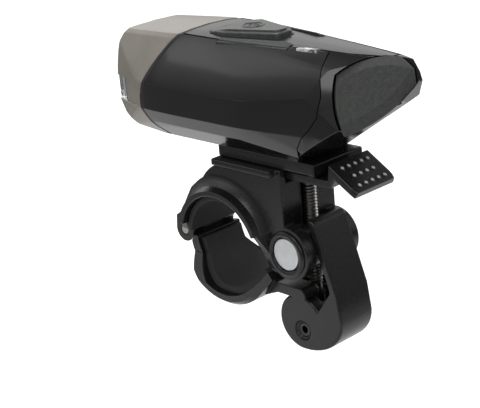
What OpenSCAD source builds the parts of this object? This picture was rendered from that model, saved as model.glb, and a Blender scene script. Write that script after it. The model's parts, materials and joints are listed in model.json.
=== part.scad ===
// Bicycle headlight on a cam lever clamp.
// Origin on the axis of the clamp bore, +X along the bore, lens towards -Y, +Z up.

/* [Clamp] */
// Diameter of the clamp bore
bore_d = 31.8; // [25:0.1:33]
// Thickness of the rubber pads
pad_t = 2.2; // [1.5:0.1:3]
// Width of the pads along the bore
pad_w = 30; // [24:1:32]
// Wall of both jaws outside the pads
jaw_wall = 3.8; // [3:0.1:5]
// Width of the upper jaw at its rim
rim_w = 35; // [32:1:40]
// Width of the jaws where they meet at the rear
tongue_w = 21; // [19:1:24]
// Width of the upper jaw's body between the rims
core_w = 25.6; // [23:0.2:28]
// Height of the saddle top above the bore axis
saddle_z = 31.6; // [30:0.1:36]
// Thickness of the saddle plate
saddle_t = 2.4; // [2:0.1:3]
// Width of the saddle plate
saddle_w = 31; // [29:1:36]
// Length of the saddle plate
saddle_len = 30; // [28:1:34]
// Radius of the clamp hinge's knuckles
knuckle_r = 4.4; // [4:0.1:5]
// Diameter of the clamp hinge pin
hinge_pin_d = 3.5; // [3:0.1:4]
// Width of the lower jaw's knuckle
knuckle_w = 9.6; // [8:0.2:12]
// Width of each hinge ear of the upper jaw
ear_w = 5; // [4:0.1:6]

/* [Cam lever] */
// Distance of the bolt from the bore axis
bolt_y = 29; // [28.8:0.1:32]
// Diameter of the bolt
bolt_d = 5; // [4:0.5:6]
// Height of the bolt's upper end
bolt_top = 25; // [20:0.5:26]
// Diameter of the barrel nut
nut_d = 11; // [9:0.2:12]
// Length of the barrel nut
nut_len = 26.6; // [26:0.2:30]
// Height of the barrel nut above the bore axis
nut_z = 2.5; // [1:0.1:4]
// Outer radius of the boss round the barrel nut
boss_r = 9.4; // [8.5:0.1:9.8]
// Outer radius of the boss between its ends, behind the lever
boss_mid = 8; // [7.4:0.1:8.2]
// Radius of the cam
cam_r = 10; // [9:0.1:10.5]
// Distance of the lever pin from the middle of the cam
cam_throw = 3; // [2:0.1:3.5]
// Lean of the throw at rest, measured from the rear
cam_lean = 100; // [95:1:105]
// Diameter of the lever pin
lever_pin_d = 5; // [4:0.1:5.5]
// Thickness of the bolt's eye round the pin
eye_wall = 2.6; // [2:0.1:2.8]
// Width of the lever
lever_w = 16; // [15:0.5:18]
// Thickness of the lever's arm
lever_t = 3.2; // [2.6:0.1:3.8]
// Reach of the arm above the pin
lever_reach = 41.4; // [38:0.1:46]
// Thickness of the lower jaw's tongue over the cam
tongue_t = 3.6; // [3:0.1:4.4]

/* [Release tab] */
// Width of the tab
tab_w = 19.4; // [16:0.2:22]
// Thickness of the tab
tab_t = 2.6; // [2.2:0.1:3]
// Length of the thumb pad
tab_len = 13.8; // [12:0.2:16]
// Distance of the thumb pad's upper edge below the tail
tab_gap = 4.2; // [3:0.1:5]
// Slope of the thumb pad
tab_slope = 32; // [25:1:36]
// Corner radius of the thumb pad
tab_corner = 4; // [2:0.5:6]
// Height of the grip bumps
bump_h = 0.5; // [0.3:0.1:0.8]
// Diameter of the trunnions at the tab's root
trunnion_d = 1.8; // [1.4:0.1:2.2]
// Length of each trunnion
trunnion_len = 1.9; // [1.4:0.1:2.4]

/* [Lamp body] */
// Height of the shoe between saddle and lamp
shoe_h = 4; // [3:0.1:6]
// Width of the shoe
shoe_w = 24; // [22:0.5:27]
// Height of the lamp from its floor to its shoulders
lamp_h = 37.6; // [36:0.2:42]
// Greatest width of the lamp
lamp_w = 41; // [39:0.5:46]
// Width of the lamp behind the rear seam
tail_w = 29.2; // [28:0.2:33]
// Width of the lamp at its nose
nose_w = 28; // [26:0.5:34]
// Width of the floor
floor_w = 24; // [22:0.5:28]
// Width of the top panel at the front seam
top_w = 28; // [26:0.2:32]
// Width of the top panel behind the rear seam
tail_top_w = 11.4; // [10:0.2:14]
// Width of the top panel at the nose
nose_top_w = 22; // [18:0.2:24]
// Rise of the crowned top panel
crown = 0.9; // [0.3:0.1:1.6]
// Width of the bevel along the shoulders
bevel = 1.5; // [1:0.1:2.2]
// Height of the lower edge of the side band above the floor
band_low = 10.9; // [10:0.1:13]
// Height of the side band
band_h = 9; // [7:0.2:10]
// Rise of the band's upper edge towards the tail
band_rise = 4.6; // [2:0.1:6]
// Distance of the nose ahead of the bore axis
nose_reach = 48.5; // [47:0.5:56]
// Length of the tail behind the rear seam
tail_len = 27.5; // [26:0.5:30]
// Distance of the top front edge behind the nose
visor_run = 9; // [6:0.5:12]
// Length of the cap along the top
cap_top_len = 35.5; // [33:0.5:38]
// Length of the cap along the side
cap_side_len = 17.2; // [16:0.2:19]
// Length of the cap along the floor
cap_floor_len = 23.5; // [22:0.5:26]
// Width of the gasket behind the cap
gasket_w = 1.6; // [1:0.1:2]
// Wall of the mouldings
wall = 2; // [1.6:0.1:2.4]
// Distance of the rear seam behind the battery cell
seam_room = 8.3; // [7:0.1:10]
// Length of the top's taper ahead of the rear seam
taper_len = 44; // [40:0.5:48]
// Distance of the widest place ahead of the rear seam
waist_len = 28; // [24:0.5:32]
// Length of the straight floor's lead behind the nose
chin_len = 21.5; // [20:0.5:23]
// Length to each side over which the lamp's bends are eased
ease = 7; // [4:0.5:8]
// Rise of the keel under the tail
keel_slope = 33.5; // [30:0.5:36]
// Rise of the tail's underside from its keel to its sides
keel_vee = 10; // [6:1:14]
// Slant of the tail's sides, seen from above
tail_slant = 23; // [20:0.5:26]
// Lean of the tail's sides
tail_lean = 14.5; // [10:0.5:18]
// Drop of the top panel from the front seam to the stern
top_drop = 2.4; // [1.5:0.1:3]
// Drop of the top panel from the front seam to the nose
nose_drop = 1.4; // [0.5:0.1:2]

/* [Lens and light] */
// Width of the front window
window_w = 22; // [18:0.5:24]
// Height of the front window
window_h = 18.5; // [15:0.5:20]
// Corner radius of the front window
window_corner = 5; // [3:0.5:7]
// Length of the side windows behind the nose
side_window_len = 14.5; // [11:0.5:15.5]
// Thickness of the lens
lens_t = 2.4; // [1.8:0.1:3]
// Diameter of the reflector at its mouth
reflector_d = 19; // [16:0.5:20]
// Depth of the reflector
reflector_len = 10; // [8:0.5:10.5]
// Width of the light source
led_w = 4.4; // [3:0.1:5]
// Diameter of the hole at the back of the reflector
throat_d = 6.8; // [6.6:0.1:8]
// Wall of the reflector
reflector_wall = 1; // [0.8:0.1:1.4]
// Thickness of the light's circuit board
led_board_t = 1.6; // [1:0.1:2]
// Width of the light's circuit board and of the heat sink
sink_w = 22; // [20:0.5:23]
// Length of the heat sink
sink_len = 6; // [5:0.5:6.5]

/* [Button and charging port] */
// Width of the button at its front
button_w = 19; // [16:0.5:20]
// Width of the button at its rear
button_tail_w = 7.4; // [6:0.2:9]
// Length of the button
button_len = 27; // [22:0.5:28]
// Distance of the button's front ahead of the bore axis
button_ahead = 3.5; // [0:0.5:4.5]
// Height of the button above the top panel
button_h = 1.7; // [1:0.1:2.2]
// Length of the ramp at the button's front
button_ramp = 8.5; // [6:0.5:10]
// Travel of the button
button_travel = 0.6; // [0.3:0.1:1]
// Height of the rubber ridges at their rear ends
ridge_h = 1.2; // [0.6:0.1:1.6]
// Length of the rubber ridges beside the button
ridge_len = 28; // [24:0.5:29]
// Length of the charge indicator
window_len = 7.5; // [5:0.5:9]
// Thickness of the port cover
flap_t = 2.2; // [1.8:0.1:2.6]
// Length of the port cover
flap_len = 26; // [22:0.5:26]

/* [Inner parts] */
// Diameter of the battery cell
cell_d = 18.4; // [14:0.1:20]
// Length of the battery cell
cell_len = 65; // [50:0.5:66]
// Thickness of the control board
board_t = 1.6; // [1:0.1:2]
// Width of the control board
board_w = 20; // [16:0.5:22]
// Length of the control board
board_len = 46; // [40:1:50]
// Diameter of the housing screws
screw_d = 2.5; // [2:0.1:3]

/* [Fits] */
// Radial clearance of turning pins
pin_fit = 0.05; // [0.02:0.01:0.1]
// Gap between seated pieces
seat = 0.1; // [0.05:0.01:0.2]
// Gap round pieces that move
run_gap = 0.35; // [0.3:0.05:0.5]

/* [Hidden] */

eps = 0.01;
far = 300;
round_fn = 96;

// Clamp
bore_r = bore_d / 2;
jaw_ri = bore_r + pad_t + seat;
jaw_ro = jaw_ri + jaw_wall;
hinge_y = -(jaw_ro + knuckle_r - 1.2);
hinge_z = -1;
rear_split = 18;
split_gap = 8;
front_split = 176;
pad_shy = 3;
rim_t = 2;
slot_half = bolt_d / 2 + run_gap + 0.3;

// Cam lever
pin_y = bolt_y;
tongue_z = -14;
pin_z = tongue_z - run_gap - cam_r - cam_throw * sin(cam_lean) + 0.05;
cam_y = pin_y + cam_throw * cos(cam_lean);
cam_z = pin_z + cam_throw * sin(cam_lean);
eye_r = lever_pin_d / 2 + eye_wall;
eye_half = slot_half - run_gap + 0.3;
cheek = eye_half + run_gap;
arm_top_z = pin_z + lever_reach;

// Lamp body
floor_z = saddle_z + shoe_h;
shoulder_z = floor_z + lamp_h;
band_low_z = floor_z + band_low;
band_top_z = band_low_z + band_h;
nose_y = -nose_reach;
lens_room = 3.4;
led_board_y = nose_y + lens_room + lens_t + reflector_len;
sink_y = led_board_y + led_board_t;
cell_stop = 1.6;
cell_y0 = sink_y + sink_len + cell_stop + 2 * seat;
rear_seam = cell_y0 + cell_len + seam_room;
stern_y = rear_seam + tail_len;
cap_top_y = nose_y + cap_top_len;
cap_side_y = nose_y + cap_side_len;
cap_floor_y = nose_y + cap_floor_len;
cap_mid_z = floor_z + 0.35 * lamp_h;
chin_y = nose_y + chin_len;
keel_y = rear_seam - 9.7;
tail_y = rear_seam + 4.5;
end_y = stern_y + 2;
waist_top_y = rear_seam - taper_len;
waist_mid_y = rear_seam - waist_len;
beam_z = floor_z + 0.46 * lamp_h;
cover_t = wall + 0.2;
trim_sink = 0.4;
core_stations = [nose_y - 1, cap_side_y, cap_top_y, waist_top_y, waist_mid_y, tail_y, end_y];
stations = concat([nose_y - 1, nose_y + 3, tail_y - ease, tail_y, tail_y + ease, end_y],
    [for (i = [0:6]) cap_side_y - ease + (cap_top_y - cap_side_y + 2 * ease) * i / 6],
    [for (i = [0:5]) waist_top_y - ease + (waist_mid_y - waist_top_y + 2 * ease) * i / 5]);
top_half = [[nose_y, nose_top_w / 2], [cap_top_y, top_w / 2], [waist_top_y, top_w / 2 - 0.4],
    [tail_y, tail_top_w / 2], [end_y, 0.6]];
mid_half = [[nose_y, nose_w / 2], [cap_side_y, lamp_w / 2 - 0.5], [cap_top_y, lamp_w / 2],
    [waist_mid_y, lamp_w / 2], [tail_y, tail_w / 2], [end_y, tail_w / 2 - 5]];
drop_at = [[nose_y, nose_drop], [cap_top_y, 0], [end_y, top_drop]];
band_top_at = [[nose_y, band_top_z], [waist_mid_y, band_top_z], [tail_y, band_top_z + band_rise],
    [end_y, band_top_z + band_rise + 4]];
// A point on the left side of the tail, from which the port cover is laid out
tail_place = [tail_w / 2 - 2.2, tail_y, band_top_z + 3];
stern_low_z = floor_z + (stern_y - keel_y) * tan(keel_slope) + 4.4;
step_count = 10;

// Plan outline helpers
function unit(v) = v / norm(v);
function fillet(a, p, b, r, n) =
    let (u = unit(a - p), v = unit(b - p), half = acos(u * v) / 2)
    let (c = p + unit(u + v) * r / sin(half))
    let (s = p + u * r / tan(half) - c, e = p + v * r / tan(half) - c)
    let (t0 = atan2(s.y, s.x), turn = atan2(s.x * e.y - s.y * e.x, s * e))
    [for (i = [0:n]) c + r * [cos(t0 + turn * i / n), sin(t0 + turn * i / n)]];
function rounded(pts, r, n = 5) = let (k = len(pts))
    [for (i = [0:k - 1]) each fillet(pts[(i + k - 1) % k], pts[i], pts[(i + 1) % k], r, n)];
function both_sides(half) = concat(half,
    [for (i = [len(half) - 1:-1:0]) if (half[i].x > eps) [-half[i].x, half[i].y]]);

// Seam between cap and housing: its distance along the lamp at height z
function cap_seam(z) = z >= cap_mid_z
    ? cap_side_y + (cap_top_y - cap_side_y) * pow((z - cap_mid_z) / (shoulder_z - cap_mid_z), 1.6)
    : cap_side_y + (cap_floor_y - cap_side_y) * pow((cap_mid_z - z) / (cap_mid_z - floor_z), 2);

// A flat shape in the Y-Z plane, given thickness across the lamp
module across(half_w) {
    rotate([90, 0, 90]) linear_extrude(2 * half_w, center = true) children();
}

// A flat shape in the X-Z plane, given length along the lamp
module along(y0, y1) {
    translate([0, y1, 0]) rotate([90, 0, 0]) linear_extrude(y1 - y0) children();
}

// A profile of radius and X, turned about the bore from one angle to another
module about_bore(a0, a1) {
    rotate([90, 0, 90]) rotate([0, 0, a0]) rotate_extrude(angle = a1 - a0, $fn = round_fn) children();
}

// A round bar along X at a place in the Y-Z plane
module bar(y, z, r, half_w) {
    translate([0, y, z]) rotate([0, 90, 0]) cylinder(h = 2 * half_w, r = r, center = true, $fn = round_fn);
}

// A block given by its corners
module block(lo, hi) {
    translate(lo) cube(hi - lo);
}

module on_both_sides() {
    children();
    mirror([1, 0, 0]) children();
}

// Clamp

// Limits of the jaw width, seen from behind: wide at the saddle, narrow at the rear tongue
module jaw_taper(low_z, low_half, high_z, high_half) {
    along(-far, far) polygon(both_sides([[0, -far], [low_half, -far], [low_half, low_z],
        [high_half, high_z], [high_half, far], [0, far]]));
}

module upper_jaw_side() {
    rear = bolt_y - 0.5;
    front = rear - saddle_len;
    polygon(concat([[rear, saddle_z], [front, saddle_z], [front, saddle_z - saddle_t - 0.6]],
        [for (i = [1:6]) let (t = i / 6)
            [front - (jaw_ro - 7 + front) * t,
                saddle_z - saddle_t - 0.6 - (saddle_z - saddle_t - 15) * t * t - 3.2 * (1 - t) * t]],
        [[0, jaw_ri - 4], [jaw_ri + 1, 0], [jaw_ri + 1, -2], [rear, nut_z]]));
}

module upper_jaw() {
    rear = bolt_y - 0.5;
    color([0.09, 0.09, 0.1]) difference() {
        union() {
            intersection() {
                about_bore(-rear_split, front_split) polygon([[jaw_ri - 2, -rim_w / 2],
                    [jaw_ri + rim_t, -rim_w / 2], [jaw_ro, -core_w / 2], [jaw_ro, core_w / 2],
                    [jaw_ri + rim_t, rim_w / 2], [jaw_ri - 2, rim_w / 2]]);
                jaw_taper(-jaw_ri * sin(rear_split), tongue_w / 2, bore_r * 0.6, rim_w / 2);
            }
            across(core_w / 2) upper_jaw_side();
            jaw_flare();
            block([-saddle_w / 2, rear - saddle_len, saddle_z - saddle_t],
                [saddle_w / 2, rear - 2, saddle_z]);
            on_both_sides() translate([lever_w / 2 + run_gap, bolt_y, nut_z]) rotate([0, 90, 0])
                cylinder(h = (core_w - lever_w) / 2 - run_gap, r = boss_r, $fn = round_fn);
            bar(bolt_y, nut_z, boss_mid, core_w / 2 - 1);
            on_both_sides() hinge_ear();
        }
        bar(0, 0, jaw_ri, far / 2);
        bar(bolt_y, nut_z, nut_d / 2 + pin_fit, far / 2);
        bar(hinge_y, hinge_z, hinge_pin_d / 2, far / 2);
        bar(hinge_y, hinge_z, knuckle_r + run_gap, knuckle_w / 2 + run_gap);
        block([-slot_half, jaw_ro, -far], [slot_half, far, saddle_z - saddle_t - 4]);
        shoe_slot();
        tab_pocket();
    }
}

// Hollow-curved flare from the rim up to the saddle
module jaw_flare() {
    low = jaw_ri + rim_t - 0.2;
    rise = 8;
    flank = [for (i = [0:6]) let (a = 90 * i / 6)
        [low + rise * (1 - cos(a)), rim_w / 2 - ((rim_w - core_w) / 2 + 0.3) * sin(a)]];
    rear = bolt_y - 3;
    intersection() {
        about_bore(22, 165) polygon(concat([[jaw_ri - 1, -rim_w / 2]], [for (p = flank) [p.x, -p.y]],
            [for (i = [6:-1:0]) flank[i]], [[jaw_ri - 1, rim_w / 2]]));
        across(far / 2) polygon([[rear, saddle_z - eps], [rear - saddle_len + 2, saddle_z - eps],
            [-5, saddle_z - 6.5], [-11, jaw_ri + 3.6], [-15.5, jaw_ri], [-19, 12], [-20.4, 6],
            [-far / 10, 0], [rear, 0]]);
    }
}

module hinge_ear() {
    x0 = knuckle_w / 2 + run_gap;
    translate([x0, 0, 0]) rotate([90, 0, 90]) linear_extrude(ear_w) {
        translate([hinge_y, hinge_z]) circle(knuckle_r, $fn = round_fn);
        polygon([[hinge_y - knuckle_r, hinge_z], [hinge_y - knuckle_r + 0.6, hinge_z + 5],
            [-jaw_ri * 0.82, jaw_ri * 0.75], [-jaw_ri - 0.5, hinge_z + 2.6],
            [hinge_y + knuckle_r, hinge_z]]);
    }
}

module shoe_slot() {
    neck = shoe_neck / 2 + seat;
    foot = shoe_foot / 2 + seat;
    block([-neck, -far, foot_low], [neck, tongue_end + seat, far]);
    block([-foot, -far, foot_low - seat], [foot, tongue_end + seat, foot_high + seat]);
}

module upper_pad() {
    color([0.07, 0.07, 0.07]) difference() {
        about_bore(-rear_split + pad_shy, front_split - pad_shy)
            translate([bore_r, -pad_w / 2]) square([pad_t, pad_w]);
        pad_taper();
    }
}

// The pads follow the narrowing jaws at the rear
module pad_taper() {
    difference() {
        block([-far, 0, -far], [far, far, far]);
        jaw_taper(-jaw_ri * sin(rear_split), tongue_w / 2 - 1.5, bore_r * 0.6, pad_w / 2 + 1);
    }
}

// Lower jaw
lower_a0 = front_split + split_gap + 2;
lower_a1 = 360 - rear_split - split_gap;
tongue_end_y = bolt_y + 4.6;

module lower_jaw_side() {
    polygon([[jaw_ri * cos(lower_a1) - 1, jaw_ri * sin(lower_a1) - 1],
        [jaw_ro * cos(lower_a1) - 1.2, tongue_z + tongue_t], [tongue_end_y - 1.5, tongue_z + tongue_t],
        [tongue_end_y, tongue_z + tongue_t - 1.5], [tongue_end_y, tongue_z],
        [bolt_y - 8, tongue_z], [bolt_y - 11, tongue_z - 1.2], [jaw_ro * cos(312), jaw_ro * sin(312) - 0.3],
        [jaw_ri * cos(312) + 0.5, jaw_ri * sin(312) - 0.5]]);
}

module lower_jaw() {
    color([0.08, 0.08, 0.09]) difference() {
        union() {
            intersection() {
                about_bore(lower_a0, lower_a1) polygon([[jaw_ri - 2, -rim_w / 2 + 1],
                    [jaw_ro - 1.5, -rim_w / 2 + 1], [jaw_ro, -rim_w / 2 + 3], [jaw_ro, rim_w / 2 - 3],
                    [jaw_ro - 1.5, rim_w / 2 - 1], [jaw_ri - 2, rim_w / 2 - 1]]);
                jaw_widening();
            }
            across(tongue_w / 2) lower_jaw_side();
            lower_knuckle();
        }
        bar(0, 0, jaw_ri, far / 2);
        bar(hinge_y, hinge_z, hinge_pin_d / 2 + pin_fit, far / 2);
        on_both_sides() translate([knuckle_w / 2, hinge_y, hinge_z]) rotate([0, 90, 0])
            cylinder(h = far, r = knuckle_r + run_gap, $fn = round_fn);
        block([-slot_half, bolt_y - slot_half, -far], [slot_half, far, 0]);
    }
}

// The lower jaw is narrow at the tongue and the knuckle, and widens under the bore
module jaw_widening() {
    along(-far, far) polygon(both_sides([[0, -far], [rim_w / 2, -far], [rim_w / 2, -jaw_ri + 1],
        [tongue_w / 2, -jaw_ri * 0.45], [tongue_w / 2, far], [0, far]]));
}

module lower_knuckle() {
    across(knuckle_w / 2) {
        translate([hinge_y, hinge_z]) circle(knuckle_r, $fn = round_fn);
        polygon([[hinge_y - knuckle_r, hinge_z], [hinge_y + knuckle_r * 0.6, hinge_z - 1],
            [-jaw_ri * 0.97, -jaw_ri * 0.26], [-jaw_ri * 0.86, -jaw_ri * 0.62],
            [hinge_y - knuckle_r + 1.4, hinge_z - 4]]);
    }
}

module lower_pad() {
    color([0.07, 0.07, 0.07]) intersection() {
        about_bore(lower_a0 + pad_shy, lower_a1 - pad_shy)
            translate([bore_r, -pad_w / 2]) square([pad_t, pad_w]);
        along(-far, far) polygon(both_sides([[0, -far], [pad_w / 2 - 1, -far], [pad_w / 2 - 1, -jaw_ri + 1],
            [tongue_w / 2 - 1.5, -jaw_ri * 0.45], [tongue_w / 2 - 1.5, far], [0, far]]));
    }
}

module clamp_hinge_pin() {
    color("silver") bar(hinge_y, hinge_z, hinge_pin_d / 2 - eps / 2, knuckle_w / 2 + run_gap + ear_w);
}

// Cam lever

module barrel_nut() {
    color("lightgray") difference() {
        bar(bolt_y, nut_z, nut_d / 2, nut_len / 2);
        translate([0, bolt_y, nut_z])
            cylinder(h = far, d = bolt_d + 2 * pin_fit, center = true, $fn = round_fn);
    }
}

module clamp_bolt() {
    color("dimgray") difference() {
        union() {
            translate([0, bolt_y, pin_z]) cylinder(h = bolt_top - pin_z, d = bolt_d, $fn = round_fn);
            bar(pin_y, pin_z, eye_r, eye_half);
        }
        bar(pin_y, pin_z, lever_pin_d / 2 + pin_fit, far / 2);
    }
}

// Inner face of the arm: it clears the boss, and the arm stands off it by its thickness
arm_lean = atan2(8.2, 24.1);
arm_foot_z = pin_z + 16.8;
arm_foot_y = bolt_y + (boss_mid + run_gap + 0.15) / cos(arm_lean) + (nut_z - arm_foot_z) * tan(arm_lean);
arm_head_y = arm_foot_y - (arm_top_z - arm_foot_z) * tan(arm_lean);

module lever_side() {
    out = lever_t / cos(arm_lean);
    heel_y = arm_foot_y + out + 1.4 - cam_y;
    heel_z = arm_foot_z - 9.5;
    translate([cam_y, cam_z]) circle(cam_r, $fn = round_fn);
    polygon(concat([[arm_head_y, arm_top_z], [arm_foot_y, arm_foot_z], [arm_foot_y - 2, arm_foot_z - 3],
        [cam_y + cam_r * cos(35), cam_z + cam_r * sin(35)], [cam_y, cam_z], [cam_y, cam_z - cam_r]],
        [for (i = [0:step_count]) let (a = -80 + 80 * i / step_count)
            [cam_y + heel_y * cos(a), heel_z + (heel_z - cam_z + cam_r) * sin(a)]],
        [[arm_foot_y + out, arm_foot_z], [arm_head_y + out + 0.3, arm_top_z - 1],
            [arm_head_y + out - 1, arm_top_z]]));
}

module cam_lever() {
    color([0.08, 0.08, 0.09]) difference() {
        across(lever_w / 2) lever_side();
        bar(pin_y, pin_z, lever_pin_d / 2, far / 2);
        bar(pin_y, pin_z, eye_r + run_gap, cheek);
        block([-cheek, pin_y - far, pin_z - far], [cheek, pin_y, far]);
        block([-cheek, pin_y - eps, pin_z], [cheek, pin_y + eye_r + run_gap, cam_z + cam_r + 1]);
        on_both_sides() translate([lever_w / 2 - 0.8, pin_y, pin_z]) rotate([0, 90, 0])
            cylinder(h = 2, d = lever_pin_d + 1.8, $fn = round_fn);
    }
}

module lever_pin() {
    color("silver") difference() {
        bar(pin_y, pin_z, lever_pin_d / 2 - eps / 2, lever_w / 2 - 1);
        bar(pin_y, pin_z, lever_pin_d / 2 - 1.2, far / 2);
    }
}

// Shoe, saddle slot and release tab
shoe_neck = 11;
shoe_foot = 16;
shoe_hook = 4.6;
foot_low = saddle_z - shoe_hook;
foot_high = foot_low + 2.2;
shoe_front = -1;
shoe_rear = bolt_y + 14;
tongue_end = 17;
tab_axis_y = bolt_y - 5;
tab_arm_z = saddle_z - 1.1;
tab_axis_z = tab_arm_z - tab_t / 2;
tooth_y = shoe_rear - 5;
tooth_len = 3;
tooth_h = 1.9;
tab_rise_y = shoe_rear + 3.5;
tab_head_y = tab_rise_y + 0.6;
tab_head_z = floor_z + (tab_head_y - keel_y) * tan(keel_slope) - tab_gap;

module tab_side() {
    end_y = tab_head_y + tab_len * cos(tab_slope);
    end_z = tab_head_z - tab_len * sin(tab_slope);
    under_z = tab_arm_z - tab_t;
    translate([tab_axis_y, tab_axis_z]) circle(tab_t / 2, $fn = 48);
    polygon([[tab_axis_y, tab_arm_z], [tab_axis_y, under_z], [tab_rise_y + 1.2, under_z],
        [tab_rise_y + 3, tab_head_z - tab_t - 2.2],
        [end_y - tab_t * sin(tab_slope), end_z - tab_t * cos(tab_slope)], [end_y, end_z],
        [tab_head_y, tab_head_z], [tab_rise_y, tab_arm_z]]);
    translate([tooth_y, tab_arm_z - eps])
        polygon([[0, 0], [tooth_len, 0], [tooth_len, tooth_h], [tooth_len - 1.2, tooth_h]]);
}

// Grip bumps stand in three rows, five, four and five
module tab_bumps() {
    rows = [[0.24, 5], [0.54, 4], [0.83, 5]];
    pitch = tab_w / 6.4;
    for (row = rows)
        for (i = [0:row[1] - 1])
            translate([0, tab_head_y, tab_head_z]) rotate([-tab_slope, 0, 0])
                translate([(i - (row[1] - 1) / 2) * pitch, row[0] * tab_len, -bump_h])
                    cylinder(h = 2 * bump_h, r1 = 1.1, r2 = 0.5, $fn = 16);
}

module release_tab() {
    half = tab_w / 2;
    reach = tab_head_y + tab_len * cos(tab_slope) + tab_t / 2;
    color([0.08, 0.08, 0.09]) {
        intersection() {
            across(half) tab_side();
            translate([0, 0, -far / 2]) linear_extrude(far) polygon(concat(
                [[-half, tab_axis_y - far], [half, tab_axis_y - far]],
                fillet([half, 0], [half, reach], [-half, reach], tab_corner, 6),
                fillet([half, reach], [-half, reach], [-half, 0], tab_corner, 6)));
        }
        tab_bumps();
        bar(tab_axis_y, tab_axis_z, trunnion_d / 2, tab_w / 2 + trunnion_len);
    }
}

// Room for the tab's root in the upper jaw, with blind bores for its trunnions
module tab_pocket() {
    half = tab_w / 2 + run_gap;
    block([-half, tab_axis_y - tab_t / 2 - run_gap, tab_arm_z - tab_t - 1], [half, far, far]);
    bar(tab_axis_y, tab_axis_z, trunnion_d / 2 + pin_fit, tab_w / 2 + trunnion_len + seat);
}

module mount_shoe() {
    color([0.09, 0.09, 0.1]) difference() {
        union() {
            block([-shoe_w / 2, shoe_front, saddle_z + seat], [shoe_w / 2, shoe_rear, floor_z]);
            block([-shoe_neck / 2, shoe_front, foot_low], [shoe_neck / 2, tongue_end, floor_z]);
            block([-shoe_foot / 2, shoe_front, foot_low], [shoe_foot / 2, tongue_end, foot_high]);
        }
        across(tab_w / 2 + run_gap) translate([tooth_y - run_gap, saddle_z - 1])
            square([tooth_len + 2 * run_gap, tooth_h + 1.1]);
        shoe_screw_places() screw_hole();
    }
}

module shoe_screw_places() {
    for (y = [shoe_front + 9, tooth_y - 12])
        on_both_sides() translate([shoe_w / 2 - 3.4, y, saddle_z + seat]) children();
}

// Through hole with a sunk head, its mouth downwards
module screw_hole() {
    translate([0, 0, -1]) cylinder(h = far, d = screw_d + 2 * pin_fit, $fn = 32);
    translate([0, 0, -1]) cylinder(h = 1 + screw_d * 0.7 + seat, d = screw_d * 1.9 + 2 * pin_fit, $fn = 32);
}

module shoe_screws() {
    color("silver") shoe_screw_places() {
        cylinder(h = screw_d * 0.7, d = screw_d * 1.9, $fn = 32);
        cylinder(h = shoe_h + wall - 0.4, d = screw_d, $fn = 32);
    }
}

// Lamp body

// A value from a table at a distance along the lamp, with the table's corners eased
function eased(y, table) =
    let (n = 6, ends = [table[0].x, table[len(table) - 1].x])
    let (reach = max(0, min(ease, y - ends[0], ends[1] - y)))
    [for (i = [-n:n]) lookup(y + reach * i / n, table)] * [for (i = [-n:n]) 1] / (2 * n + 1);
function shoulder_at(y) = shoulder_z - eased(y, drop_at);
function crown_at(y) = crown * eased(y, top_half) / (top_w / 2);

// Outline of the lamp across its length at one station, set in from the outer face
function lamp_section(y, inset) =
    let (t = max(eased(y, top_half) - inset * 0.8, 0.3), m = eased(y, mid_half) - inset)
    let (f = min(floor_w / 2, m - 2) - inset * 0.6, z = shoulder_at(y) - inset, c = crown_at(y))
    both_sides([[0, floor_z + inset], [f, floor_z + inset], [m - 2.3, floor_z + 6.2 + inset * 0.5],
        [m, band_low_z], [m, eased(y, band_top_at)], [t + bevel * 0.8, z - bevel], [t, z],
        [t * 0.6, z + c * 0.64], [0, z + c]]);

// Side view of the lamp: visor, chin, keel and stern
module lamp_side(inset) {
    visor_y = nose_y + visor_run;
    visor_z = shoulder_at(visor_y) + crown_at(visor_y) - inset;
    brow_z = band_top_z + 0.4;
    knee_y = stern_y - 5;
    chin_rise = 2.2;
    below = 0.5;
    polygon(concat(
        [[stern_y + 0.6 - inset, stern_low_z + inset],
            [stern_y - inset, shoulder_at(stern_y) - 0.6 - inset], [stern_y - inset, far],
            [visor_y + inset - visor_run * sin(8), far]],
        [for (i = [0:step_count]) let (a = 8 + 82 * i / step_count)
            [visor_y + inset - visor_run * sin(a), brow_z + (visor_z - brow_z) * cos(a)]],
        [[nose_y + inset, band_low_z + 0.4], [nose_y + 2.4 + inset, band_low_z - 4.8],
            [nose_y + 9 + inset, floor_z + chin_rise + inset],
            [chin_y + below * (chin_y - nose_y - 9) / chin_rise, floor_z + inset - below],
            [keel_y - inset * 0.6 - below / tan(keel_slope), floor_z + inset - below],
            [knee_y - inset, floor_z + (knee_y - keel_y) * tan(keel_slope) + inset]]));
}

// Places things on the left side of the tail: X runs to the stern, Y up, Z out of the face
module on_tail() {
    translate(tail_place) rotate([0, 0, tail_slant]) rotate([0, -tail_lean, 0])
        rotate([90, 0, 90]) children();
}

module lamp_form(inset = eps) {
    difference() {
        intersection() {
            hull() for (y = inset < wall ? stations : core_stations)
                along(y - eps, y) polygon(lamp_section(y, inset));
            across(far / 2) lamp_side(inset);
        }
        on_both_sides() on_tail() translate([-far / 2, -far / 2, -inset]) cube(far);
        on_both_sides() translate([0, keel_y, floor_z]) rotate([keel_slope, 0, 0]) rotate([0, -keel_vee, 0])
            translate([-1, -far / 2, 0.15 + 1.1 * inset - far]) cube(far);
    }
}

// Zone ahead of the cap seam, moved back by a distance
module cap_zone(shift) {
    beyond = 4;
    heights = [for (i = [0:step_count]) floor_z + lamp_h * i / step_count];
    across(far / 2) polygon(concat([[-far, floor_z - beyond], [cap_floor_y + shift, floor_z - beyond]],
        [for (z = heights) [cap_seam(z) + shift, z]],
        [[cap_top_y + shift, shoulder_z + beyond], [-far, shoulder_z + beyond]]));
}

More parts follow.
